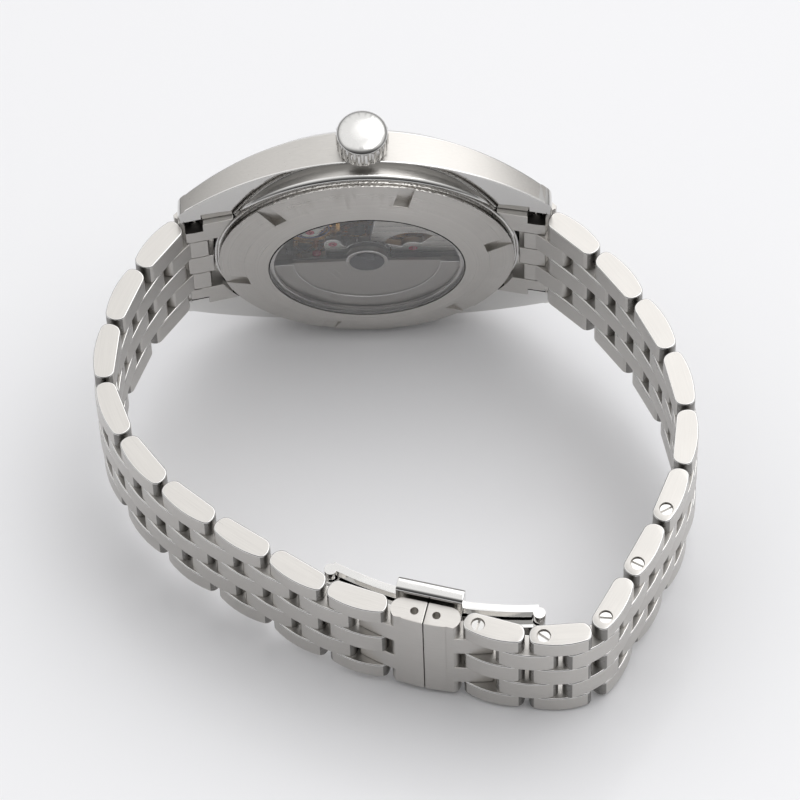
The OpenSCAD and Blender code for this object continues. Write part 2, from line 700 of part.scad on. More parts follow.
module jewels() color([0.75, 0.08, 0.18]) for (p = [third_p, fourth_p, escape_p, barrel_p, balance_p])
    ring(0.55, 0.2, bridge_z0, bridge_z0 + 0.3, p);

module rotor() color(satin) difference() {
    union() {
        slab(1.6, 2.5) difference() {
            sector(rotor_r, 93, 267);
            circle(rotor_r - 2.7);
        }
        slab(1.75, 2.1) sector(rotor_r - 2, 92, 268);
        disc(2.6, 1.6, 2.45);
    }
    disc(post_r + 0.05, 1.7, 20);
}

module barrel() color(gilt) {
    slab(3.8, 4.1) gear_2d(barrel_z, barrel_r);
    disc(barrel_r - 0.35, 4.1, 4.7);
    disc(0.45, plate_z0 - 0.5, plate_z0 + 0.7);
    disc(1.0, 4.6, plate_z0 - 0.05);
    disc(0.17, bridge_z0 + 0.1, 3.9);
}

module centre_wheel() color(gilt) {
    wheel(centre_z, centre_r, 4.85, 5.0);
    slab(3.78, 4.14) gear_2d(centre_pinion_z, centre_pinion_r, mesh(80 + 180, 0, barrel_z, centre_pinion_z));
    disc(0.25, bridge_z0 + 0.4, 4);
    disc(0.55, 3.9, 6.4);
    slab(6.4, 6.6) gear_2d(12, 0.6);
    disc(0.42, 6.5, 8.3);
}

module minute_hand() color(steel) slab(8.02, 8.18) difference() {
    union() {
        circle(0.85);
        polygon([[-0.45, -2.2], [0.45, -2.2], [0.6, 3], [0.08, 13.2], [-0.08, 13.2], [-0.6, 3]]);
    }
    circle(0.42);
}

module hour_hand() color(steel) slab(7.7, 7.86) rotate(60) difference() {
    union() {
        circle(1.15);
        polygon([[-0.5, -2], [0.5, -2], [0.8, 2.6], [0.08, 8.8], [-0.08, 8.8], [-0.8, 2.6]]);
    }
    circle(0.72);
}

module hour_wheel() color(gilt) difference() {
    union() {
        slab(6.7, 6.86) gear_2d(40, 1.92);
        disc(0.72, 6.7, 7.9);
    }
    disc(0.47, 6, 9);
}

module minute_wheel() color(gilt) {
    slab(6.4, 6.56) gear_2d(36, 1.8, mesh(30, 0, 12, 36));
    slab(6.5, 6.88) gear_2d(10, 0.48, mesh(30, 0, 40, 10));
    disc(0.2, 6.36, 6.9);
}

module seconds_hand() color([0.20, 0.28, 0.55]) slab(7.5, 7.6) difference() {
    union() {
        circle(0.4);
        translate([-0.06, -0.9]) square([0.12, 3.1]);
    }
    circle(0.2);
}

module third_wheel() color(gilt) {
    wheel(third_z, third_r, 3.85, 4.0);
    slab(4.0, 5.02) gear_2d(third_pinion_z, third_pinion_r,
        mesh(angle_to([0, 0], third_p), 0, centre_z, third_pinion_z));
    disc(0.17, bridge_z0 + 0.1, plate_z0 + 0.8);
}

module fourth_wheel() color(gilt) {
    wheel(fourth_z, fourth_r, 4.2, 4.35);
    slab(3.8, 4.2) gear_2d(fourth_pinion_z, fourth_pinion_r,
        mesh(angle_to(third_p, fourth_p), 0, third_z, fourth_pinion_z));
    disc(0.17, bridge_z0 + 0.1, 3.9);
    disc(0.25, 4.3, 7.3);
    disc(0.2, 7.2, 7.66);
}

module escape_wheel() color(gilt) {
    slab(4.5, 4.65) {
        difference() {
            polygon([for (i = [0:14], j = [0:2]) [1.9, 1.45, 1.45][j] * dir(24 * i + [0, 4, 20][j])]);
            circle(1.2);
        }
        circle(0.45);
        for (a = [0, 90, 180, 270]) rotate(a) translate([0.3, -0.1]) square([1.0, 0.2]);
    }
    slab(4.1, 4.55) gear_2d(escape_pinion_z, escape_pinion_r,
        mesh(escape_a, 0, fourth_z, escape_pinion_z));
    disc(0.17, bridge_z0 + 0.1, plate_z0 + 0.8);
}

module pallet_fork() color(steel) {
    slab(4.48, 4.66) {
        circle(0.35);
        rotate(line_a) translate([0, -0.14]) square([1.05, 0.28]);
        rotate(line_a) for (s = [-1, 1]) translate([0.95, s * 0.22 - 0.08]) square([0.42, 0.16]);
        rotate(line_a) for (s = [-1, 1]) rotate(s * 105) translate([0, -0.12]) square([1.25, 0.24]);
        rotate(line_a) for (s = [-1, 1]) rotate(s * 105) translate([1.05, -0.1]) square([0.24, 0.3]);
    }
    disc(0.17, 4.2, plate_z0 + 0.8);
}

module balance_wheel() color(gilt) {
    ring(balance_r, balance_r - 0.5, 3.6, 4.0);
    slab(3.65, 3.9) {
        circle(0.6);
        for (a = [0, 120, 240]) rotate(a) translate([0.3, -0.2]) square([balance_r - 0.6, 0.4]);
    }
    disc(0.5, 3.3, 3.7);
    disc(0.6, 4.0, 4.3);
    disc(0.17, bridge_z0 + 0.1, plate_z0 + 0.8);
    for (i = [0:7]) rotate([0, 0, 45 * i + 20]) translate([balance_r - 0.05, 0, 3.8]) rotate([0, 90, 0])
        cylinder(r = 0.14, h = 0.2, $fn = 24);
}

spring_r0 = 0.62;
spring_r1 = spring_r0 + spring_turns * spring_pitch;
spring_end = 15;
function coil(t, d) = (spring_r0 + spring_pitch * t + d) * dir(360 * t + spring_end);
coil_pts = [for (i = [0:24 * spring_turns]) coil(i / 24, 0)];
coil_gap = min([for (i = [0:24 * (spring_turns - 1)]) norm(coil_pts[i + 24] - coil_pts[i])]) - 0.1;
echo(hairspring_gap = coil_gap);

module hairspring() color([0.30, 0.35, 0.60]) slab(3.36, 3.54) polygon(concat(
    [for (i = [0:24 * spring_turns]) coil(i / 24, -0.05)],
    [for (i = [24 * spring_turns:-1:0]) coil(i / 24, 0.05)]));

module at(p) translate([p[0], p[1], 0]) children();

stand() case_middle();
stand() bezel();
stand() front_crystal();
stand() gaskets();
stand() dial();
stand() back_ring();
stand() back_crystal();
stand() casing_ring();
stand() main_plate();
stand() barrel_bridge();
stand() train_bridge();
stand() balance_cock();
stand() bridge_screws();
stand() jewels();
stand() spring_bars();
stand() end_links();
stand() crown();
stand() winding_stem();
stand() clutch_wheel();
stand() rotor();
stand() at(barrel_p) barrel();
stand() centre_wheel();
stand() minute_hand();
stand() hour_hand();
stand() hour_wheel();
stand() at(minute_p) minute_wheel();
stand() at(fourth_p) seconds_hand();
stand() at(third_p) third_wheel();
stand() at(fourth_p) fourth_wheel();
stand() at(escape_p) escape_wheel();
stand() at(pallet_p) pallet_fork();
stand() at(balance_p) balance_wheel();
stand() at(balance_p) hairspring();
stand() link_12h(0);  // link_12h_01
stand() link_12h(1);  // link_12h_02
stand() link_12h(2);  // link_12h_03
stand() link_12h(3);  // link_12h_04
stand() link_12h(4);  // link_12h_05
stand() link_12h(5);  // link_12h_06
stand() link_12h(6);  // link_12h_07
stand() link_12h(7);  // link_12h_08
stand() link_12h(8);  // link_12h_09
stand() link_12h(9);  // link_12h_10
stand() link_6h(0);  // link_6h_01
stand() link_6h(1);  // link_6h_02
stand() link_6h(2);  // link_6h_03
stand() link_6h(3);  // link_6h_04
stand() link_6h(4);  // link_6h_05
stand() link_6h(5);  // link_6h_06
stand() link_6h(6);  // link_6h_07
stand() link_6h(7);  // link_6h_08
stand() link_6h(8);  // link_6h_09
stand() clasp_wing_12h();
stand() clasp_wing_6h();
stand() clasp_leaf_12h();
stand() clasp_leaf_6h();
stand() clasp_plate();
stand() clasp_button_3h();
stand() clasp_button_9h();
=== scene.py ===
"""Looks for a self-winding watch on a five-row steel bracelet with a folding clasp.

Laid out as an add-on: one operator dresses each group of pieces, and one sets the stage.
"""

import json
import math

import bmesh
import bpy
from bpy.props import FloatProperty, FloatVectorProperty, IntProperty, PointerProperty
from mathutils import Matrix, Vector


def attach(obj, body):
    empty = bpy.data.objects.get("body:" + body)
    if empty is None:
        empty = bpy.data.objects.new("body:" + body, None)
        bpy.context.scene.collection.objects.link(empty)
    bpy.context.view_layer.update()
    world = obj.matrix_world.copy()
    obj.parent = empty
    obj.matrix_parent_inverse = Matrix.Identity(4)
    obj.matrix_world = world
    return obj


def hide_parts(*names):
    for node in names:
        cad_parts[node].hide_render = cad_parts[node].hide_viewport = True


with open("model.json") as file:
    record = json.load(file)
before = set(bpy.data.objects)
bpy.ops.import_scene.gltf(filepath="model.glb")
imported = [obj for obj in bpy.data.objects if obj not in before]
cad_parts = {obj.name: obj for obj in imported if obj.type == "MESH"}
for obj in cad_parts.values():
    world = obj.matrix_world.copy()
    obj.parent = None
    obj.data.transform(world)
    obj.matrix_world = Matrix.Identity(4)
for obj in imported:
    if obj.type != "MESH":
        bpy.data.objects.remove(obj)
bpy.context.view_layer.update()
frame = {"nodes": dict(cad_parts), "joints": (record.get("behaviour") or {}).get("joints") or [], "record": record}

bl_info = {
    "name": "Steel Bracelet Watch",
    "version": (1, 0, 0),
    "blender": (4, 5, 0),
    "location": "View3D > Sidebar > Watch",
    "description": "Dresses a self-winding watch on a five-row steel bracelet",
    "category": "Object",
}

MM = 0.001
JOINTS = {j["name"]: j for j in frame["joints"]}
PIVOT = {j["child"]: Vector(j["pos_m"]) for j in frame["joints"] if "pos_m" in j}
BODY_OF = {n: b for b, nodes in frame["record"]["behaviour"]["bodies"].items() for n in nodes}

# Sizes in millimetres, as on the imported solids.
# A link: the step between its pins, its rows and the gap between them, its section and its pins
ROW_STEP, ROW_WIDE, ROW_SPLIT = 4.0, 3.9, 0.06
LINK_THICK, LINK_END, LINK_DOME = 2.9, 1.86, 12.0
PIN_R, PIN_BLIND = 0.5, 1.1
# Its outline: stops along the dome, and in degrees where the dome meets the round end, and the end's fullest
DOME_STOPS, END_MEETS, END_FULL = (2.3, 1.15), 28.4, -11.4
# A screw: its head, its hole and its slot, and by how many degrees the slots of neighbours differ
SCREW_R, SCREW_HOLE, SCREW_DEEP, SCREW_TALL, SCREW_SLOT = 0.74, 0.86, 0.68, 0.36, 0.28
SLOT_TURN = 25
# The end pieces: where their pockets end, and the reach across of the notches for the spring bars
END_POCKET, END_NOTCH, END_SIDE = 19.45, 8.3, 9.9
# The clasp: half the distance between the wings' pins, the reach of their holes, and where the pins end
WING_PIN, WING_BORE, PIN_SUNK = 1.35, (7.0, 8.9), 7.0
# The body: lug tips and roots, the inside of the lugs, and the place of the brushed flank
LUG_TIP, LUG_ROOT, LUG_IN = 22.3, 15.5, 10.4
FLANK_R, FLANK_LOW, FLANK_HIGH = 16.0, 2.5, 9.0
# The crown's dome: the width and rise of each ring
CROWN_DOME = ((0.4, 0.045), (0.4, 0.03), (0.4, 0.018), (0.25, 0.006))
# The back: the sharp edges round the window, and the rolled rim
WINDOW_R, ROLLED_R, ROLLED_Z = 13.5, 17.6, 1.1
# How much of its seat's width and height each glass fills
FRONT_EASE, BACK_EASE = (0.997, 1.0), (0.996, 0.98)
# The rotor's cap: radius and height along its outline
CAP_OUTLINE = ((0.0, 1.62), (2.15, 1.62), (2.15, 1.5), (2.0, 1.4), (0.9, 1.36), (0.0, 1.36))
# The dial: the height above which batons stand, and its marks: place, thickness, and width by length
BATON_Z = 7.42
MARK_R, MARK_Z, MARK_TALL = 15.25, 7.41, 0.02
LONG_MARK, SHORT_MARK = (0.22, 0.9), (0.1, 0.7)

# The order of a piece's finishes: its main one, the one on its edges or details, and a dull one whose darker
# colour is painted shade
MAIN, DETAIL, DULL_SHADE = 0, 1, 2
# How many flat sides stand for a round one
PIN_SIDES, SCREW_SIDES, HOLE_SIDES, CAP_SIDES = 20, 28, 32, 96
# How squarely a face looks one way, as a cosine
SQUARE, CROWN_FACE, FLANK_FACE, JOINT_FACE, HALF_WAY = 0.99, 0.9, 0.6, 0.55, 0.5
EDGEWISE = 0.01
# Angles in degrees: faces that count as one, edges that are broken, and edges that stay sharp in shading
ONE_FACE, BROKEN_EDGE, LUG_EDGE = 0.4, 32, 40
SHADE_EDGE, LINK_SHADE_EDGE = 30, 40
# Points that count as one and slivers that are taken out, in metres; points of an outline in millimetres
WELD, SLIVER, TURNED_WELD = 1e-7, 1e-6, 1e-5
# An edge shorter than this many times the width of a broken edge stays sharp
TOO_SHORT = 1.6
# How many millimetres of grain stand for one radius round a ring, and across the rays
RING_GRAIN, RAY_GRAIN = 3, 12

# The view of a square picture: its side and the lens's length in pixels, the camera's distance in metres,
# its angles in degrees, and the place that it looks at in the watch's axes
PICTURE_PX, LENS_PX, VIEW_AWAY = 800, 6549, 0.801
VIEW_RISE, VIEW_SWING, VIEW_ROLL = 62.46, 0.98, -2.26
VIEW_TARGET = (0.0, 3.74, -18.5)
SENSOR = 36.0
# Each lamp's place and size in metres and its watts, where they aim, and the table's half side and drop
LAMPS = (("overhead", (0.26, 0.28, 0.63), 0.55, 0.85), ("fill", (0.3, -0.15, 0.8), 0.5, 0.8))
LAMP_AIM = (0, 0, 0.015)
TABLE_HALF, TABLE_DROP = 4.0, 0.00005

# The watch's own axes in the row frame: to 3 o'clock, to 12 o'clock and out of the dial
AX = Vector(JOINTS["crown_turn"]["axis"])
AY = Vector((1.0, 0.0, 0.0))
AZ = AX.cross(AY)


def watch_matrix():
    """Takes millimetres in the watch's axes to metres in the row frame, from the middle of the back glass."""
    low = min(AZ.dot(v.co) for v in frame["nodes"]["back_crystal"].data.vertices)
    on_axis = PIVOT["minutes"]
    head = on_axis + AZ * (low - AZ.dot(on_axis))
    turn = Matrix((AX, AY, AZ)).transposed().to_4x4()
    return Matrix.Translation(head) @ turn @ Matrix.Scale(MM, 4)


WATCH = watch_matrix()
FROM_ROW = WATCH.inverted()


def linear(code):
    """An sRGB hex colour as the linear values that Blender's sockets take."""
    parts = [int(code[i:i + 2], 16) / 255 for i in (0, 2, 4)]
    return tuple(c / 12.92 if c <= 0.04045 else ((c + 0.055) / 1.055) ** 2.4 for c in parts)


def tint(name, code, description):
    return FloatVectorProperty(name=name, description=description, subtype="COLOR", size=3,
                               min=0.0, max=1.0, default=linear(code))


def length(name, mm, description):
    return FloatProperty(name=name, description=description, unit="LENGTH", min=0.0, default=mm * MM)


class WatchColours(bpy.types.PropertyGroup):
    satin: tint("Brushed Steel", "c9c6c2", "Colour of the brushed stainless steel")
    # Joint Steel is darker partly because the joint faces are tumbled and partly as painted shade for the gaps
    # between the links
    joint: tint("Joint Steel", "7f7d7a", "Colour of the tumbled steel inside the bracelet's joints")
    # Pocket Steel is painted shade: a near-black steel for the recess between the lugs and the notches round the
    # spring bars
    pocket: tint("Pocket Steel", "403e3c", "Colour of the dull steel in the pockets at the lugs")
    polish: tint("Polished Steel", "dcdbd9", "Colour of the polished stainless steel")
    nickel: tint("Plated Bridges", "b9b6b0", "Colour of the nickel plating on plates and bridges")
    weight: tint("Winding Weight", "a6a29c", "Colour of the heavy grey alloy of the rotor")
    gilt: tint("Gilt Brass", "cf9f55", "Colour of the wheels and the balance")
    blued: tint("Blued Steel", "27345f", "Colour of screws and springs blued by heat")
    ruby: tint("Ruby", "b3213f", "Colour of the bearing stones")
    dial: tint("Dial", "23262d", "Colour of the dial ring")
    hub: tint("Rotor Hub", "3a3b3e", "Colour of the dark cap over the rotor bearing")
    marks: tint("Dial Print", "e6e4de", "Colour of the printed minute marks")
    glass: tint("Sapphire", "fcfcfd", "Colour of both glasses")
    seal: tint("Seals", "1a1a1b", "Colour of the rubber seals")
    floor: tint("Floor", "f3f3f5", "Colour of the table")


class WatchSizes(bpy.types.PropertyGroup):
    link_edge: length("Link Edge", 0.16, "Width of the broken edges on the links")
    link_round: length("Link Corner", 0.55, "How far the rounding of a link's four corners reaches")
    case_edge: length("Body Edge", 0.2, "Width of the polished edges on the watch body")
    lug_round: length("Lug Tip", 0.6, "How far the rounding of a lug's tip reaches")
    fine_edge: length("Fine Edge", 0.05, "Width of the broken edges on small pieces")
    brush: length("Brush Lines", 0.17, "Distance between the brush lines on steel")
    stripe: length("Stripes", 1.3, "Distance between the stripes on the bridges")
    pearl: length("Pearling", 0.9, "Distance between the spots on the main plate")
    ticks: IntProperty(name="Minute Marks", description="Marks round the dial", min=12, max=120, default=60)


# Materials

def add(tree, kind, settings=None, values=None, links=None):
    """One node with its settings, its socket values and what its sockets are fed from."""
    node = tree.nodes.new(kind)
    for key, value in (settings or {}).items():
        setattr(node, key, value)
    for key, value in (values or {}).items():
        node.inputs[key].default_value = value
    for key, source in (links or {}).items():
        tree.links.new(source, node.inputs[key])
    return node


def surface(name, **sockets):
    """A new material with one Principled shader, returned with its tree and that shader."""
    mat = bpy.data.materials.new(name)
    mat.use_nodes = True
    tree = mat.node_tree
    skin = tree.nodes["Principled BSDF"]
    for key, value in sockets.items():
        socket = skin.inputs[key.replace("_", " ")]
        socket.default_value = (*value, 1.0) if socket.type == "RGBA" else value
    return mat, tree, skin


def shade(colour, k):
    return (*[min(1.0, c * k) for c in colour], 1.0)


def brushed(name, colour, pitch, rough=(0.27, 0.42), dark=0.86, metallic=1.0, depth=0.012):
    """Stainless steel drawn over an abrasive belt: long fine lines that blur what it reflects one way.
    The real lines are about 0.03 mm wide; they are drawn as coarse as pitch so that they show."""
    mat, tree, skin = surface(name, Metallic=metallic)
    grain = add(tree, "ShaderNodeAttribute", {"attribute_name": "grain"})
    k = MM / pitch
    spread = add(tree, "ShaderNodeMapping", values={"Scale": (k, 0.03 * k, k)},
                 links={"Vector": grain.outputs["Vector"]})
    lines = add(tree, "ShaderNodeTexNoise", values={"Scale": 1.0, "Detail": 3.0, "Roughness": 0.62},
                links={"Vector": spread.outputs["Vector"]})
    place = add(tree, "ShaderNodeTexCoord")
    # handling leaves soft patches some 4 mm across
    cloud = add(tree, "ShaderNodeTexNoise", values={"Scale": 1 / (4 * MM), "Detail": 2.0},
                links={"Vector": place.outputs["Object"]})
    both = add(tree, "ShaderNodeMath", {"operation": "MULTIPLY_ADD"}, {1: 0.35},
               {0: cloud.outputs["Fac"], 2: lines.outputs["Fac"]})
    level = add(tree, "ShaderNodeMapRange",
                values={"From Min": 0.4, "From Max": 1.0, "To Min": rough[0], "To Max": rough[1]},
                links={"Value": both.outputs["Value"]})
    tone = add(tree, "ShaderNodeMix", {"data_type": "RGBA"},
               {6: shade(colour, dark), 7: shade(colour, 1.06)}, {0: lines.outputs["Fac"]})
    bump = add(tree, "ShaderNodeBump", values={"Strength": 0.55, "Distance": depth * MM},
               links={"Height": lines.outputs["Fac"]})
    tree.links.new(tone.outputs[2], skin.inputs["Base Color"])
    tree.links.new(level.outputs["Result"], skin.inputs["Roughness"])
    tree.links.new(bump.outputs["Normal"], skin.inputs["Normal"])
    return mat


def polished(name, colour, rough=0.07, metallic=1.0, haze=3.0):
    """Steel or brass buffed on a cloth wheel: a clear mirror with a faint haze of wipe marks.
    A rougher one is tumbled or left dull, and only glows softly."""
    mat, tree, skin = surface(name, Metallic=metallic, Base_Color=colour)
    place = add(tree, "ShaderNodeTexCoord")
    wipe = add(tree, "ShaderNodeTexNoise",
               values={"Scale": 1 / (haze * MM), "Detail": 2.0, "Roughness": 0.5},
               links={"Vector": place.outputs["Object"]})
    level = add(tree, "ShaderNodeMapRange",
                values={"From Min": 0.3, "From Max": 0.75, "To Min": rough * 0.7, "To Max": rough * 1.6},
                links={"Value": wipe.outputs["Fac"]})
    bump = add(tree, "ShaderNodeBump", values={"Strength": 0.05, "Distance": 0.01 * MM},
               links={"Height": wipe.outputs["Fac"]})
    tree.links.new(level.outputs["Result"], skin.inputs["Roughness"])
    tree.links.new(bump.outputs["Normal"], skin.inputs["Normal"])
    return mat


def striped(name, colour, pitch):
    """Nickel-plated brass with ground stripes: each stripe is a shallow fan that turns the light."""
    mat, tree, skin = surface(name, Metallic=1.0)
    grain = add(tree, "ShaderNodeAttribute", {"attribute_name": "grain"})
    # a band wave repeats every 2 pi / 20 of its own length
    bands = add(tree, "ShaderNodeTexWave",
                {"wave_type": "BANDS", "bands_direction": "X", "wave_profile": "SAW"},
                {"Scale": math.pi / 10 * MM / pitch, "Distortion": 0.0}, {"Vector": grain.outputs["Vector"]})
    arcs = add(tree, "ShaderNodeMapping", values={"Scale": (1.2, 9.0, 1.0), "Rotation": (0, 0, 0.5)},
               links={"Vector": grain.outputs["Vector"]})
    scrape = add(tree, "ShaderNodeTexNoise", values={"Scale": 1.0, "Detail": 2.0},
                 links={"Vector": arcs.outputs["Vector"]})
    mixed = add(tree, "ShaderNodeMath", {"operation": "MULTIPLY_ADD"}, {1: 0.25},
                {0: scrape.outputs["Fac"], 2: bands.outputs["Fac"]})
    tone = add(tree, "ShaderNodeMix", {"data_type": "RGBA"},
               {6: shade(colour, 0.72), 7: shade(colour, 1.1)}, {0: mixed.outputs["Value"]})
    level = add(tree, "ShaderNodeMapRange", values={"To Min": 0.24, "To Max": 0.38},
                links={"Value": mixed.outputs["Value"]})
    bump = add(tree, "ShaderNodeBump", values={"Strength": 0.5, "Distance": 0.06 * MM},
               links={"Height": mixed.outputs["Value"]})
    tree.links.new(tone.outputs[2], skin.inputs["Base Color"])
    tree.links.new(level.outputs["Result"], skin.inputs["Roughness"])
    tree.links.new(bump.outputs["Normal"], skin.inputs["Normal"])
    return mat


def pearled(name, colour, pitch):
    """Plated brass with overlapping round spots, ground one by one with a small abrasive peg."""
    mat, tree, skin = surface(name, Metallic=1.0)
    grain = add(tree, "ShaderNodeAttribute", {"attribute_name": "grain"})
    spots = add(tree, "ShaderNodeTexVoronoi", {"voronoi_dimensions": "2D", "feature": "F1"},
                {"Scale": MM / pitch, "Randomness": 0.12}, {"Vector": grain.outputs["Vector"]})
    rings = add(tree, "ShaderNodeMath", {"operation": "SINE"}, links={
        0: add(tree, "ShaderNodeMath", {"operation": "MULTIPLY"}, {1: 34.0},
               {0: spots.outputs["Distance"]}).outputs["Value"]})
    fade = add(tree, "ShaderNodeMath", {"operation": "MULTIPLY_ADD"}, {1: 0.12},
               {0: rings.outputs["Value"], 2: spots.outputs["Distance"]})
    tone = add(tree, "ShaderNodeMix", {"data_type": "RGBA"},
               {6: shade(colour, 1.08), 7: shade(colour, 0.6)}, {0: fade.outputs["Value"]})
    bump = add(tree, "ShaderNodeBump", values={"Strength": 0.4, "Distance": 0.05 * MM},
               links={"Height": fade.outputs["Value"]})
    skin.inputs["Roughness"].default_value = 0.3
    tree.links.new(tone.outputs[2], skin.inputs["Base Color"])
    tree.links.new(bump.outputs["Normal"], skin.inputs["Normal"])
    return mat


def knurled(name, colour, pitch):
    """Turned steel with a rough rolled band: short dents round the rim that break up the light."""
    mat, tree, skin = surface(name, Metallic=1.0, Base_Color=colour)
    place = add(tree, "ShaderNodeTexCoord")
    dents = add(tree, "ShaderNodeTexVoronoi", {"feature": "SMOOTH_F1"},
                {"Scale": 1 / pitch, "Smoothness": 0.4}, {"Vector": place.outputs["Object"]})
    bump = add(tree, "ShaderNodeBump", values={"Strength": 0.9, "Distance": 0.12 * MM},
               links={"Height": dents.outputs["Distance"]})
    level = add(tree, "ShaderNodeMapRange", values={"To Min": 0.2, "To Max": 0.4},
                links={"Value": dents.outputs["Distance"]})
    tree.links.new(level.outputs["Result"], skin.inputs["Roughness"])
    tree.links.new(bump.outputs["Normal"], skin.inputs["Normal"])
    return mat


def sapphire(name, colour, rough=(0.0, 0.03)):
    """Grown sapphire, ground flat and polished: clear, hard-edged highlights and a trace of grey.
    Its rim is left ground, and looks frosted. A thin coat cuts its glare, so its IOR is below the usual 1.77."""
    mat, tree, skin = surface(name, Base_Color=colour, IOR=1.5)
    skin.inputs["Transmission Weight"].default_value = 1.0
    place = add(tree, "ShaderNodeTexCoord")
    dust = add(tree, "ShaderNodeTexNoise", values={"Scale": 1 / (5 * MM), "Detail": 4.0},
               links={"Vector": place.outputs["Object"]})
    level = add(tree, "ShaderNodeMapRange",
                values={"From Min": 0.4, "From Max": 0.8, "To Min": rough[0], "To Max": rough[1]},
                links={"Value": dust.outputs["Fac"]})
    tree.links.new(level.outputs["Result"], skin.inputs["Roughness"])
    return mat


def moulded(name, colour, rough, grit):
    """Moulded rubber, printed lacquer or stone: one colour with a fine grit in its gloss."""
    mat, tree, skin = surface(name, Base_Color=colour)
    place = add(tree, "ShaderNodeTexCoord")
    speck = add(tree, "ShaderNodeTexNoise", values={"Scale": 1 / (grit * MM), "Detail": 3.0},
                links={"Vector": place.outputs["Object"]})
    level = add(tree, "ShaderNodeMapRange", values={"To Min": rough * 0.7, "To Max": rough * 1.3},
                links={"Value": speck.outputs["Fac"]})
    bump = add(tree, "ShaderNodeBump", values={"Strength": 0.2, "Distance": 0.02 * MM},
               links={"Height": speck.outputs["Fac"]})
    tree.links.new(level.outputs["Result"], skin.inputs["Roughness"])
    tree.links.new(bump.outputs["Normal"], skin.inputs["Normal"])
    return mat


def finish(kind):
    """The material of that name, made once from the colours and sizes in the panel."""
    if kind in bpy.data.materials:
        return bpy.data.materials[kind]
    colour = bpy.context.scene.watch_colours
    size = bpy.context.scene.watch_sizes
    makers = {
        # streaks of light: straight on links and flanks, in rings on turned pieces
        "brushed_stainless": lambda: brushed(kind, colour.satin, size.brush),
        "turned_stainless": lambda: brushed(kind, colour.satin, size.brush * 0.8, (0.25, 0.4), dark=0.8),
        "turned_tungsten": lambda: brushed(kind, colour.weight, size.brush * 0.8, (0.25, 0.4), dark=0.8),
        # a clear mirror, a soft sheen on the winding button, then tumbled steel in the joints darkened as painted
        # shade, and near-black steel in the pockets as painted shade
        "polished_stainless": lambda: polished(kind, colour.polish),
        "buffed_stainless": lambda: polished(kind, colour.polish, 0.2, haze=2.0),
        "tumbled_and_shade_stainless": lambda: polished(kind, colour.joint, 0.3, haze=1.5),
        "painted_shade_stainless": lambda: polished(kind, colour.pocket, 0.4, haze=1.5),
        # a broken glitter round the back
        "rolled_stainless": lambda: knurled(kind, colour.satin, 0.35 * MM),
        # clear faces, and a frosted rim that hides what lies behind it
        "sapphire": lambda: sapphire(kind, colour.glass),
        "ground_sapphire": lambda: sapphire(kind, colour.glass, (0.5, 0.6)),
        # a dark line between steel and glass
        "nitrile_seal": lambda: moulded(kind, colour.seal, 0.6, grit=0.2),
        # dark rays that catch light as the dial turns
        "sunray_lacquer": lambda: brushed(kind, colour.dial, size.brush, (0.2, 0.4), dark=0.6,
                                          metallic=0.75, depth=0.006),
        # bands and spots that tell the bridges from the plate
        "striped_nickel": lambda: striped(kind, colour.nickel, size.stripe),
        "pearled_nickel": lambda: pearled(kind, colour.nickel, size.pearl),
        # small warm, blue and red glints among the grey
        "gilt_brass": lambda: polished(kind, colour.gilt, 0.2, haze=0.8),
        "blued_steel": lambda: polished(kind, colour.blued, 0.14, metallic=0.9, haze=0.6),
        "ruby": lambda: moulded(kind, colour.ruby, 0.08, grit=0.3),
        # a dark spot at the rotor's middle, and pale marks on the dial
        "black_cap": lambda: polished(kind, colour.hub, 0.2, metallic=0.9, haze=4.0),
        "white_print": lambda: moulded(kind, colour.marks, 0.5, grit=0.1),
    }
    return makers[kind]()


# Shaping

def lay_grain(bm, way, origin=None, along=None):
    """Stores how the finish runs: lines across, along and through the piece, in millimetres.
    A line runs along a direction, a ring runs round the dial's axis, and a ray runs out from it."""
    layer = bm.verts.layers.float_vector.new("grain")
    for v in bm.verts:
        if way == "line":
            d = (v.co - origin) / MM
            v[layer] = (d.dot(AX), d.dot(along), d.dot(AX.cross(along)))
            continue
        p = FROM_ROW @ v.co
        r = max(math.hypot(p.x, p.y), 1e-6)
        if way == "ring":
            v[layer] = (r, RING_GRAIN * p.x / r, p.z)
        elif way == "ray":
            v[layer] = (RAY_GRAIN * p.x / r, r, RAY_GRAIN * p.y / r)
        else:
            v[layer] = (p.x, p.y, p.z)


def piece(bm, name, body, finishes, instead_of=()):
    """Makes a bmesh an object that rides on a body, with its finishes and the nodes that it stands for."""
    mesh = bpy.data.meshes.new(name)
    for kind in finishes:
        mesh.materials.append(finish(kind))
    bm.to_mesh(mesh)
    bm.free()
    obj = bpy.data.objects.new(name, mesh)
    bpy.context.scene.collection.objects.link(obj)
    obj.modifiers.new("Even Shading", "WEIGHTED_NORMAL").keep_sharp = True
    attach(obj, body)
    if instead_of:
        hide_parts(*instead_of)


def shade_smooth(bm, degrees=SHADE_EDGE):
    for f in bm.faces:
        f.smooth = True
    for e in bm.edges:
        e.smooth = e.is_manifold and e.calc_face_angle(0.0) < math.radians(degrees)


def only(geom, kind):
    """Those of an operator's results that are of one kind: vertices, edges or faces."""
    return [x for x in geom if isinstance(x, kind)]


def once(geom):
    """Each item once, in the order met, which a set wouldn't keep."""
    return list(dict.fromkeys(geom))


def is_sharp(edge, degrees):
    return edge.is_manifold and edge.is_convex and edge.calc_face_angle(0.0) > math.radians(degrees)


def merged(node):
    """A copy of a CAD solid with its loose triangles joined into flat faces."""
    bm = bmesh.new()
    bm.from_mesh(frame["nodes"][node].data)
    bmesh.ops.remove_doubles(bm, verts=bm.verts, dist=WELD)
    bmesh.ops.dissolve_limit(bm, angle_limit=math.radians(ONE_FACE), verts=bm.verts, edges=bm.edges)
    return bm


def eased(node, wide, tall):
    """A copy of a glass, ground a little smaller than its seat so that their walls stay apart."""
    bm = merged(node)
    smaller = WATCH @ Matrix.Diagonal((wide, wide, tall, 1.0)) @ FROM_ROW
    bmesh.ops.transform(bm, matrix=smaller, verts=bm.verts)
    return bm


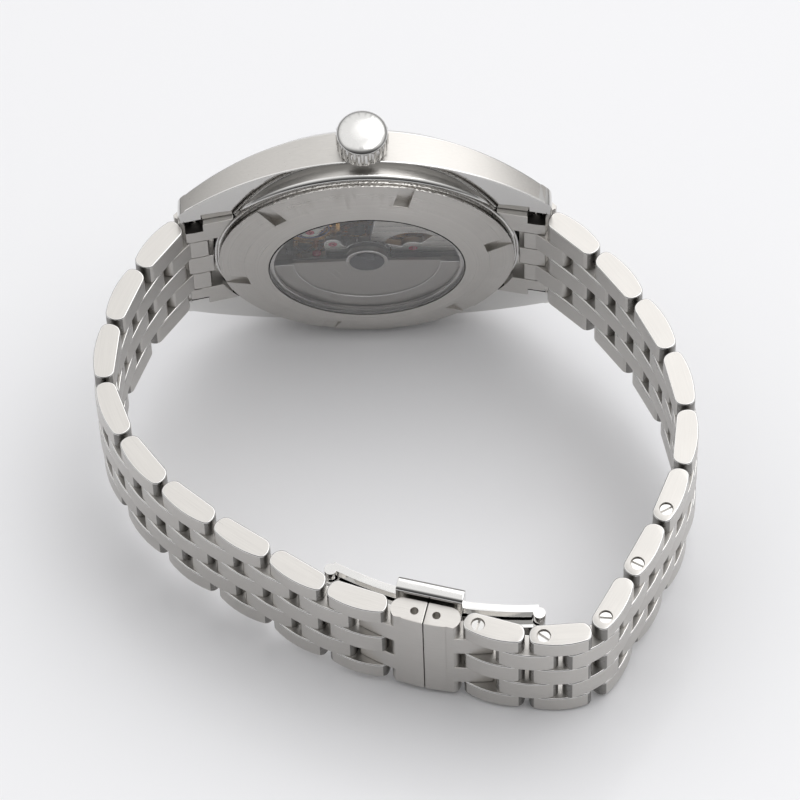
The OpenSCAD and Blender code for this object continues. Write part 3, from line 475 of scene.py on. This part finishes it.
def sliced(bm, point, way):
    """Cuts off what lies beyond a plane, given in the watch's axes, and closes the cut."""
    normal = (WATCH.to_3x3() @ Vector(way)).normalized()
    cut = bmesh.ops.bisect_plane(bm, geom=[*bm.verts, *bm.edges, *bm.faces],
                                 plane_co=WATCH @ Vector(point), plane_no=normal, clear_outer=True)
    rim = only(cut["geom_cut"], bmesh.types.BMEdge)
    if rim:
        bmesh.ops.triangle_fill(bm, use_beauty=True, use_dissolve=False, edges=rim, normal=normal)


def softened(node, edge, finishes, grain=("watch",), pick=None, rim=None, bm=None, crisp=0.0):
    """A merged copy of a CAD solid with its outer edges broken, which is shown in its place.
    pick chooses a face's finish from its middle and normal in the watch's axes; rim is the edges' finish.
    Edges nearer to the dial's axis than crisp millimetres stay sharp."""
    bm = bm or merged(node)
    if pick:
        turn = FROM_ROW.to_3x3().normalized()
        for f in bm.faces:
            f.material_index = pick(FROM_ROW @ f.calc_center_median(), turn @ f.normal)
    sharp = [e for e in bm.edges if is_sharp(e, BROKEN_EDGE)]
    tight = {v for e in sharp if e.calc_length() < edge * TOO_SHORT for v in e.verts}
    chosen = [e for e in sharp if not (e.verts[0] in tight or e.verts[1] in tight)
              and (FROM_ROW @ e.verts[0].co).xy.length >= crisp]
    if edge > 0 and chosen:
        made = bmesh.ops.bevel(bm, geom=chosen, offset=edge, offset_type="OFFSET", segments=2,
                               profile=0.5, affect="EDGES", clamp_overlap=False, material=-1)
        if rim is not None:
            for f in made["faces"]:
                f.material_index = rim
    bmesh.ops.dissolve_degenerate(bm, dist=SLIVER, edges=bm.edges)
    shade_smooth(bm)
    lay_grain(bm, *grain)
    piece(bm, node + "_finish", BODY_OF[node], finishes, [node])


def turned(outline, finishes, name, body):
    """A piece turned round the dial's axis from a closed outline of radius and height, in millimetres."""
    bm = bmesh.new()
    verts = [bm.verts.new((r, 0.0, z)) for r, z in outline]
    edges = [bm.edges.new((a, b)) for a, b in zip(verts, verts[1:] + verts[:1])]
    bmesh.ops.spin(bm, geom=verts + edges, cent=(0, 0, 0), axis=(0, 0, 1), dvec=(0, 0, 0),
                   angle=math.tau, steps=CAP_SIDES, use_merge=True, use_duplicate=False)
    bmesh.ops.remove_doubles(bm, verts=bm.verts, dist=TURNED_WELD)
    bmesh.ops.recalc_face_normals(bm, faces=bm.faces)
    bmesh.ops.transform(bm, matrix=WATCH, verts=bm.verts)
    shade_smooth(bm)
    lay_grain(bm, "ring")
    piece(bm, name, body, finishes)


def across(point, x):
    """The place beside a pin's middle that lies x millimetres to the 3 o'clock side."""
    return point + AX * (x - (FROM_ROW @ point).x) * MM


def crosswise(point, x):
    """The place of a round shape whose axis runs across the bracelet, x millimetres to the 3 o'clock side."""
    return Matrix.Translation(across(point, x)) @ AX.to_track_quat("Z", "Y").to_matrix().to_4x4()


def rod(bm, point, radius, low, high, sides):
    """A round pin across the bracelet, from low to high in millimetres to the 3 o'clock side."""
    made = bmesh.ops.create_cone(bm, cap_ends=True, segments=sides, radius1=radius * MM,
                                 radius2=radius * MM, depth=(high - low) * MM,
                                 matrix=crosswise(point, (low + high) / 2))
    faces = once(f for v in made["verts"] for f in v.link_faces)
    for f in faces:
        f.material_index = DETAIL
    return faces


def slotted_head(bm, point, floor, turn, along):
    """A screw head on the floor of its hole: two half rounds with the slot between them."""
    for side in (-1, 1):
        faces = rod(bm, point, SCREW_R, floor, floor + SCREW_TALL, SCREW_SIDES)
        way = Matrix.Rotation(math.radians(turn), 3, AX) @ along * side
        geom = once(x for f in faces for x in (*f.verts, *f.edges, f))
        cut = bmesh.ops.bisect_plane(bm, geom=geom, plane_co=point + way * SCREW_SLOT / 2 * MM,
                                     plane_no=way, clear_inner=True)
        rim = only(cut["geom_cut"], bmesh.types.BMEdge)
        for f in bmesh.ops.edgeloop_fill(bm, edges=rim)["faces"]:
            f.material_index = DETAIL


def link_bar(bm, size, pin, along, out, low, high, hole=None):
    """One bar of a row: flat to the wrist, domed outside and round at both ends, from low to high across.
    A hole takes a screw from the 3 o'clock side."""
    flat, dome, reach = -LINK_THICK / 2, LINK_THICK / 2 - LINK_DOME, ROW_STEP / 2
    tip, belly = math.radians(END_MEETS), math.radians(END_FULL)
    half = [(reach + math.sqrt(LINK_END ** 2 - flat ** 2), flat)]
    half += [(reach + LINK_END * math.cos(a), LINK_END * math.sin(a)) for a in (belly, tip)]
    half += [(s, dome + math.sqrt(LINK_DOME ** 2 - s * s)) for s in DOME_STOPS]
    outline = half + [(0.0, LINK_THICK / 2)] + [(-s, t) for s, t in reversed(half)]
    middle = pin + along * reach * MM
    before = set(bm.faces)
    verts = [bm.verts.new(across(middle + (along * s + out * t) * MM, high)) for s, t in outline]
    bm.faces.new(verts)
    bmesh.ops.bevel(bm, geom=[verts[i] for i in (0, 1, 2, -1, -2, -3)], offset=size.link_round, segments=5,
                    offset_type="OFFSET", profile=0.5, affect="VERTICES", clamp_overlap=False, material=-1)
    face = next(f for f in bm.faces if f not in before)
    bar = bmesh.ops.extrude_face_region(bm, geom=[face])
    bmesh.ops.translate(bm, vec=AX * (low - high) * MM, verts=only(bar["geom"], bmesh.types.BMVert))
    faces = [f for f in bm.faces if f not in before]
    bmesh.ops.recalc_face_normals(bm, faces=faces)
    caps = [f for f in faces if abs(f.normal.dot(AX)) > SQUARE]
    rim = bmesh.ops.bevel(bm, geom=once(e for f in caps for e in f.edges), offset=size.link_edge,
                          offset_type="OFFSET", segments=3, profile=0.5, affect="EDGES",
                          clamp_overlap=False, material=-1)
    # the round ends facing the next link take the joint steel, tumbled and darkened as painted shade
    for f in (f for f in bm.faces if f not in before):
        f.material_index = DULL_SHADE if abs(f.normal.dot(along)) > JOINT_FACE else MAIN
    for f in rim["faces"]:
        f.material_index = DETAIL
    if hole is None:
        return
    cap = next(f for f in bm.faces if f not in before and f.normal.dot(AX) > SQUARE and len(f.verts) > 8)
    loop = list(cap.edges)
    bmesh.ops.delete(bm, geom=[cap], context="FACES_ONLY")
    mouth = bmesh.ops.create_circle(bm, cap_ends=False, segments=HOLE_SIDES, radius=SCREW_HOLE * MM,
                                    matrix=crosswise(hole, high))["verts"]
    lip = once(e for v in mouth for e in v.link_edges)
    bmesh.ops.triangle_fill(bm, use_beauty=True, use_dissolve=False, edges=loop + lip, normal=AX)
    wall = bmesh.ops.extrude_edge_only(bm, edges=lip)["geom"]
    bmesh.ops.translate(bm, vec=-AX * SCREW_DEEP * MM, verts=only(wall, bmesh.types.BMVert))
    floor = [e for e in only(wall, bmesh.types.BMEdge) if len(e.link_faces) == 1]
    bmesh.ops.edgeloop_fill(bm, edges=floor)
    bmesh.ops.recalc_face_normals(bm, faces=[f for f in bm.faces if f not in before])


def plain(kind, *nodes):
    """CAD solids whose shape is already right get a finish and stay as they are."""
    for n in nodes:
        mesh = frame["nodes"][n].data
        mesh.materials.clear()
        mesh.materials.append(finish(kind))


# Operators

class DressBody(bpy.types.Operator):
    """Brushed flanks with polished edges and a polished band below them"""
    bl_idname = "watch.dress_body"
    bl_label = "Body and Bezel"

    def execute(self, context):
        size = context.scene.watch_sizes

        def flank(p, n):
            # the wall between the lugs gets near-black steel as painted shade, the flanks are brushed and the rest
            # is polished
            if abs(p.x) < LUG_IN and abs(p.y) > LUG_ROOT and abs(n.z) < HALF_WAY and abs(n.y) > HALF_WAY:
                return DULL_SHADE
            outside = abs(n.x) > FLANK_FACE and math.hypot(p.x, p.y) > FLANK_R
            return MAIN if outside and FLANK_LOW < p.z < FLANK_HIGH else DETAIL

        def at_tip(v):
            p = FROM_ROW @ v.co
            return abs(p.y) > LUG_TIP and abs(p.x) > LUG_IN

        bm = merged("case_middle")
        tips = [e for e in bm.edges if is_sharp(e, LUG_EDGE) and all(at_tip(v) for v in e.verts)]
        bmesh.ops.bevel(bm, geom=tips, offset=size.lug_round, offset_type="OFFSET", segments=5, profile=0.5,
                        affect="EDGES", clamp_overlap=False, material=-1)
        softened("case_middle", size.case_edge,
                 ["brushed_stainless", "polished_stainless", "painted_shade_stainless"],
                 ("line", WATCH.translation, AY), flank, DETAIL, bm=bm)
        softened("bezel", size.case_edge, ["polished_stainless"], ("ring",))
        softened("front_crystal", size.fine_edge, ["sapphire"],
                 bm=eased("front_crystal", *FRONT_EASE))
        plain("nitrile_seal", "gaskets")
        return {"FINISHED"}


class DressBack(bpy.types.Operator):
    """Turned back ring with a rolled rim, and its window"""
    bl_idname = "watch.dress_back"
    bl_label = "Back"

    def execute(self, context):
        size = context.scene.watch_sizes

        def band(p, n):
            return DETAIL if math.hypot(p.x, p.y) > ROLLED_R and p.z > ROLLED_Z else MAIN

        def ground(p, n):
            return DETAIL if abs(n.z) < HALF_WAY else MAIN

        softened("back_ring", size.fine_edge * 1.4, ["turned_stainless", "rolled_stainless"],
                 ("ring",), band, crisp=WINDOW_R)
        softened("back_crystal", size.fine_edge, ["sapphire", "ground_sapphire"], pick=ground,
                 bm=eased("back_crystal", *BACK_EASE))
        softened("casing_ring", size.fine_edge, ["turned_stainless"], ("ring",))
        return {"FINISHED"}


class DressCrown(bpy.types.Operator):
    """Polished fluted winding button with a domed face"""
    bl_idname = "watch.dress_crown"
    bl_label = "Winding Button"

    def execute(self, context):
        size = context.scene.watch_sizes
        bm = merged("crown")
        tops = [f for f in bm.faces if f.normal.dot(AX) > SQUARE]
        face = max(tops, key=lambda f: AX.dot(f.calc_center_median()))
        # a shallow dome, raised ring by ring
        for wide, tall in CROWN_DOME:
            bmesh.ops.inset_region(bm, faces=[face], thickness=wide * MM, depth=tall * MM,
                                   use_even_offset=True)
        softened("crown", size.fine_edge, ["polished_stainless", "buffed_stainless"],
                 pick=lambda p, n: DETAIL if n.x > CROWN_FACE else MAIN, bm=bm)
        plain("polished_stainless", "winding_stem", "clutch_wheel")
        return {"FINISHED"}


class DressBracelet(bpy.types.Operator):
    """Brushed links with rounded ends, their screws and pins, end pieces and spring bars"""
    bl_idname = "watch.dress_bracelet"
    bl_label = "Bracelet"

    def execute(self, context):
        for half, count, screws in (("12h", 10, 5), ("6h", 9, 0)):
            names = [f"link_{half}_{k:02d}" for k in range(1, count + 1)]
            pins = [PIVOT[n] for n in names] + [PIVOT["clasp_wing_" + half]]
            for k, name in enumerate(names):
                self.link(context, name, pins[k], pins[k + 1], k == count - 1,
                          SLOT_TURN * (k % 3) if k >= count - screws else None)
        self.end_pieces(context.scene.watch_sizes)
        plain("polished_stainless", "spring_bars")
        return {"FINISHED"}

    def end_pieces(self, size):
        """The fixed end pieces, split into their rows, with a pocket behind each narrow row."""
        # cut just inside the sides of the narrow rows, so that no cut lies in a face
        near, beyond, split = ROW_WIDE / 2, ROW_WIDE * 1.5 + ROW_SPLIT * 0.8, 2.5 * ROW_SPLIT
        bm = bmesh.new()
        far = 2 * beyond
        rows = ((-beyond, -near - split, True), (-near, near, False), (near + split, beyond, True),
                (-far, -beyond - split, False), (beyond + split, far, False))
        for low, high, pocket in rows:
            for end in (-1, 1):
                part = merged("end_links")
                sliced(part, (low, 0, 0), (-1, 0, 0))
                sliced(part, (high, 0, 0), (1, 0, 0))
                sliced(part, (0, end * END_POCKET if pocket else 0, 0), (0, -end, 0))
                joined = bpy.data.meshes.new("end_row")
                part.to_mesh(joined)
                part.free()
                bm.from_mesh(joined)
                bpy.data.meshes.remove(joined)

        # the notches round the spring bars get the near-black steel as painted shade
        def notch(p, n):
            return DETAIL if END_NOTCH < abs(p.x) < END_SIDE and n.z > -HALF_WAY else MAIN

        softened("end_links", size.fine_edge * 1.5, ["brushed_stainless", "painted_shade_stainless"],
                 ("line", WATCH.translation, AY), notch, bm=bm)

    def link(self, context, name, pin, following, last, screw_turn):
        """One pitch: three wide-row bars, the pair of narrow-row bars behind them, and their pins."""
        size = context.scene.watch_sizes
        mesh = frame["nodes"][name].data
        # the flat inside of the outer rows is their largest face
        rows = [p for p in mesh.polygons if abs((FROM_ROW @ p.center).x) > ROW_WIDE * 1.5 + 2 * ROW_SPLIT]
        out = -max((p for p in rows if abs(p.normal.dot(AX)) < EDGEWISE), key=lambda p: p.area).normal
        hand = 1 if out.cross(AX).dot(following - pin) > 0 else -1
        along = out.cross(AX).normalized() * hand
        far_pin = pin + along * ROW_STEP * MM
        edge = max((FROM_ROW @ v.co).x for v in mesh.vertices)
        bm = bmesh.new()
        near, beyond = ROW_WIDE / 2 + ROW_SPLIT, ROW_WIDE * 1.5 + ROW_SPLIT
        wide_rows = ((-edge, -beyond - ROW_SPLIT), (-ROW_WIDE / 2, ROW_WIDE / 2), (beyond + ROW_SPLIT, edge))
        for low, high in wide_rows:
            hole = far_pin if screw_turn is not None and low > 0 else None
            link_bar(bm, size, pin, along, out, low, high, hole)
        if not last:
            lean = (following - far_pin).normalized()
            for low, high in ((-beyond, -near), (near, beyond)):
                link_bar(bm, size, far_pin, lean, AX.cross(lean) * hand, low, high)
        # the pins take the joint steel too, darkened as painted shade
        for spot in (pin, far_pin):
            for f in rod(bm, spot, PIN_R, PIN_BLIND - edge, edge - PIN_BLIND, PIN_SIDES):
                f.material_index = DULL_SHADE
        if screw_turn is not None:
            slotted_head(bm, far_pin, edge - SCREW_DEEP, screw_turn, along)
        shade_smooth(bm, LINK_SHADE_EDGE)
        lay_grain(bm, "line", pin, along)
        piece(bm, name + "_finish", BODY_OF[name],
              ["brushed_stainless", "polished_stainless", "tumbled_and_shade_stainless"], [name])


class DressClasp(bpy.types.Operator):
    """Brushed wings, polished leaves, plate and push buttons"""
    bl_idname = "watch.dress_clasp"
    bl_label = "Clasp"

    def execute(self, context):
        size = context.scene.watch_sizes
        a, b = PIVOT["clasp_wing_6h"], PIVOT["clasp_wing_12h"]
        along = ("line", a, (b - a).normalized())
        pin_6h = PIVOT["clasp_leaf_6h"]
        for half, pin in (("12h", pin_6h + along[2] * 2 * WING_PIN * MM), ("6h", pin_6h)):
            bm = merged("clasp_wing_" + half)
            # the pin's outer end lies deep in its hole
            spot = FROM_ROW @ pin
            ends = [v for v in bm.verts if WING_BORE[0] < (FROM_ROW @ v.co).x < WING_BORE[1]
                    and ((FROM_ROW @ v.co).yz - spot.yz).length < PIN_R * 1.05]
            for v in ends:
                v.co = across(v.co, PIN_SUNK)
            softened("clasp_wing_" + half, size.link_edge * 0.9, ["brushed_stainless"], along,
                     bm=bm)
            softened("clasp_leaf_" + half, size.fine_edge, ["polished_stainless"], along)
        softened("clasp_plate", size.fine_edge, ["polished_stainless"], along)
        for side in ("3h", "9h"):
            softened("clasp_button_" + side, size.link_edge, ["polished_stainless"], along)
        return {"FINISHED"}


class DressMovement(bpy.types.Operator):
    """Striped bridges, pearled plate, gilt wheels, ruby stones and blued screws"""
    bl_idname = "watch.dress_movement"
    bl_label = "Movement"

    def execute(self, context):
        size = context.scene.watch_sizes
        for node in ("barrel_bridge", "train_bridge", "balance_cock"):
            softened(node, size.fine_edge * 1.6, ["striped_nickel", "polished_stainless"],
                     rim=DETAIL)
        softened("main_plate", size.fine_edge, ["pearled_nickel", "polished_stainless"],
                 rim=DETAIL)
        plain("gilt_brass", "barrel", "centre_wheel", "third_wheel", "fourth_wheel", "escape_wheel",
              "balance_wheel", "hour_wheel", "minute_wheel")
        plain("blued_steel", "bridge_screws", "hairspring")
        plain("polished_stainless", "pallet_fork")
        plain("ruby", "jewels")
        return {"FINISHED"}


class DressRotor(bpy.types.Operator):
    """Half-round winding weight with a dark cap over its bearing"""
    bl_idname = "watch.dress_rotor"
    bl_label = "Rotor"

    def execute(self, context):
        size = context.scene.watch_sizes
        softened("rotor", size.fine_edge * 1.6, ["turned_tungsten", "polished_stainless"],
                 ("ring",), rim=DETAIL)
        turned(CAP_OUTLINE, ["black_cap"], "rotor_cap", "rotor")
        return {"FINISHED"}


class DressDial(bpy.types.Operator):
    """Sunray dial ring with applied batons, printed minute marks and hands"""
    bl_idname = "watch.dress_dial"
    bl_label = "Dial and Hands"

    def execute(self, context):
        size = context.scene.watch_sizes
        softened("dial", size.fine_edge, ["sunray_lacquer", "polished_stainless"], ("ray",),
                 lambda p, n: DETAIL if p.z > BATON_Z else MAIN)
        for node in ("minute_hand", "hour_hand"):
            softened(node, size.fine_edge, ["polished_stainless"])
        plain("blued_steel", "seconds_hand")
        bm = bmesh.new()
        count = size.ticks
        for i in range(count):
            wide, long = LONG_MARK if i % 5 == 0 else SHORT_MARK
            turn = Matrix.Rotation(math.tau * i / count, 4, "Z")
            spot = turn @ Matrix.Translation((0, MARK_R - long / 2, MARK_Z))
            bmesh.ops.create_cube(bm, size=1.0, matrix=spot @ Matrix.Diagonal((wide, long, MARK_TALL, 1)))
        bmesh.ops.transform(bm, matrix=WATCH, verts=bm.verts)
        lay_grain(bm, "watch")
        piece(bm, "minute_marks", "head", ["white_print"])
        return {"FINISHED"}


class SetStage(bpy.types.Operator):
    """Pale table, soft lamps and the camera"""
    bl_idname = "watch.set_stage"
    bl_label = "Stage"

    def execute(self, context):
        scene = context.scene
        bm = bmesh.new()
        bmesh.ops.create_grid(bm, x_segments=1, y_segments=1, size=TABLE_HALF)
        bmesh.ops.translate(bm, verts=bm.verts, vec=(0, 0, -TABLE_DROP))
        mesh = bpy.data.meshes.new("table")
        bm.to_mesh(mesh)
        bm.free()
        # sprayed acrylic sheet: white, smooth enough to mirror the watch faintly
        mat = surface("white_acrylic", Base_Color=scene.watch_colours.floor, Roughness=0.16, IOR=1.35)[0]
        mesh.materials.append(mat)
        table = bpy.data.objects.new("table", mesh)
        scene.collection.objects.link(table)

        world = bpy.data.worlds.new("studio")
        world.use_nodes = True
        tree = world.node_tree
        back = tree.nodes["Background"]
        # a light tent: its ceiling glows, its walls fall off to grey near the table,
        # and its front is open to a dim room
        way = add(tree, "ShaderNodeTexCoord")
        ray = add(tree, "ShaderNodeSeparateXYZ", links={"Vector": way.outputs["Generated"]})
        roof = add(tree, "ShaderNodeMapRange", {"interpolation_type": "SMOOTHSTEP"},
                   {"From Min": 0.0, "From Max": 0.8, "To Min": 0.25, "To Max": 1.08},
                   {"Value": ray.outputs["Z"]})
        front = add(tree, "ShaderNodeMapRange", {"interpolation_type": "SMOOTHSTEP"},
                    {"From Min": -0.9, "From Max": -0.2, "To Min": 0.18, "To Max": 1.0},
                    {"Value": ray.outputs["Y"]})
        power = add(tree, "ShaderNodeMath", {"operation": "MULTIPLY"},
                    links={0: roof.outputs["Result"], 1: front.outputs["Result"]})
        back.inputs["Color"].default_value = (1.0, 1.0, 1.0, 1.0)
        tree.links.new(power.outputs["Value"], back.inputs["Strength"])
        scene.world = world

        for name, spot, size, watts in LAMPS:
            lamp = bpy.data.lights.new(name, "AREA")
            lamp.size = size
            lamp.energy = watts
            obj = bpy.data.objects.new(name, lamp)
            obj.location = spot
            obj.rotation_euler = (Vector(LAMP_AIM) - Vector(spot)).to_track_quat("-Z", "Y").to_euler()
            scene.collection.objects.link(obj)

        rise, swing, roll = (math.radians(a) for a in (VIEW_RISE, VIEW_SWING, VIEW_ROLL))
        look = WATCH @ Vector(VIEW_TARGET)
        turn = WATCH.to_3x3().normalized()
        flat = math.cos(rise)
        away = turn @ Vector((math.sin(rise), flat * math.sin(swing), -flat * math.cos(swing)))
        side = (-away).cross(AX).normalized()
        up = away.cross(side)
        right = side * math.cos(roll) + up * math.sin(roll)
        up = away.cross(right)
        cam = bpy.data.cameras.new("camera")
        cam.sensor_width = SENSOR
        cam.lens = SENSOR * LENS_PX / PICTURE_PX
        cam.clip_start = 0.01
        view = bpy.data.objects.new("camera", cam)
        stand = Matrix((right, up, away)).transposed().to_4x4()
        view.matrix_world = Matrix.Translation(look + away * VIEW_AWAY) @ stand
        scene.collection.objects.link(view)
        scene.camera = view
        scene.view_settings.view_transform = "Standard"
        return {"FINISHED"}


STEPS = (SetStage, DressBody, DressBack, DressCrown, DressBracelet, DressClasp, DressMovement,
         DressRotor, DressDial)


class WatchPanel(bpy.types.Panel):
    """Lists the steps that dress the watch, with the sizes and colours they use"""
    bl_idname = "VIEW3D_PT_watch"
    bl_label = "Watch"
    bl_space_type = "VIEW_3D"
    bl_region_type = "UI"
    bl_category = "Watch"

    def draw(self, context):
        for group in (context.scene.watch_colours, context.scene.watch_sizes):
            for key in group.bl_rna.properties.keys():
                if key not in ("rna_type", "name"):
                    self.layout.prop(group, key)
        for step in STEPS:
            self.layout.operator(step.bl_idname)


CLASSES = (WatchColours, WatchSizes, *STEPS, WatchPanel)


def register():
    for cls in CLASSES:
        bpy.utils.register_class(cls)
    bpy.types.Scene.watch_colours = PointerProperty(type=WatchColours)
    bpy.types.Scene.watch_sizes = PointerProperty(type=WatchSizes)


def unregister():
    del bpy.types.Scene.watch_sizes
    del bpy.types.Scene.watch_colours
    for cls in reversed(CLASSES):
        bpy.utils.unregister_class(cls)


def main():
    register()
    for step in STEPS:
        group, name = step.bl_idname.split(".")
        getattr(getattr(bpy.ops, group), name)()


if __name__ == "__main__":
    main()
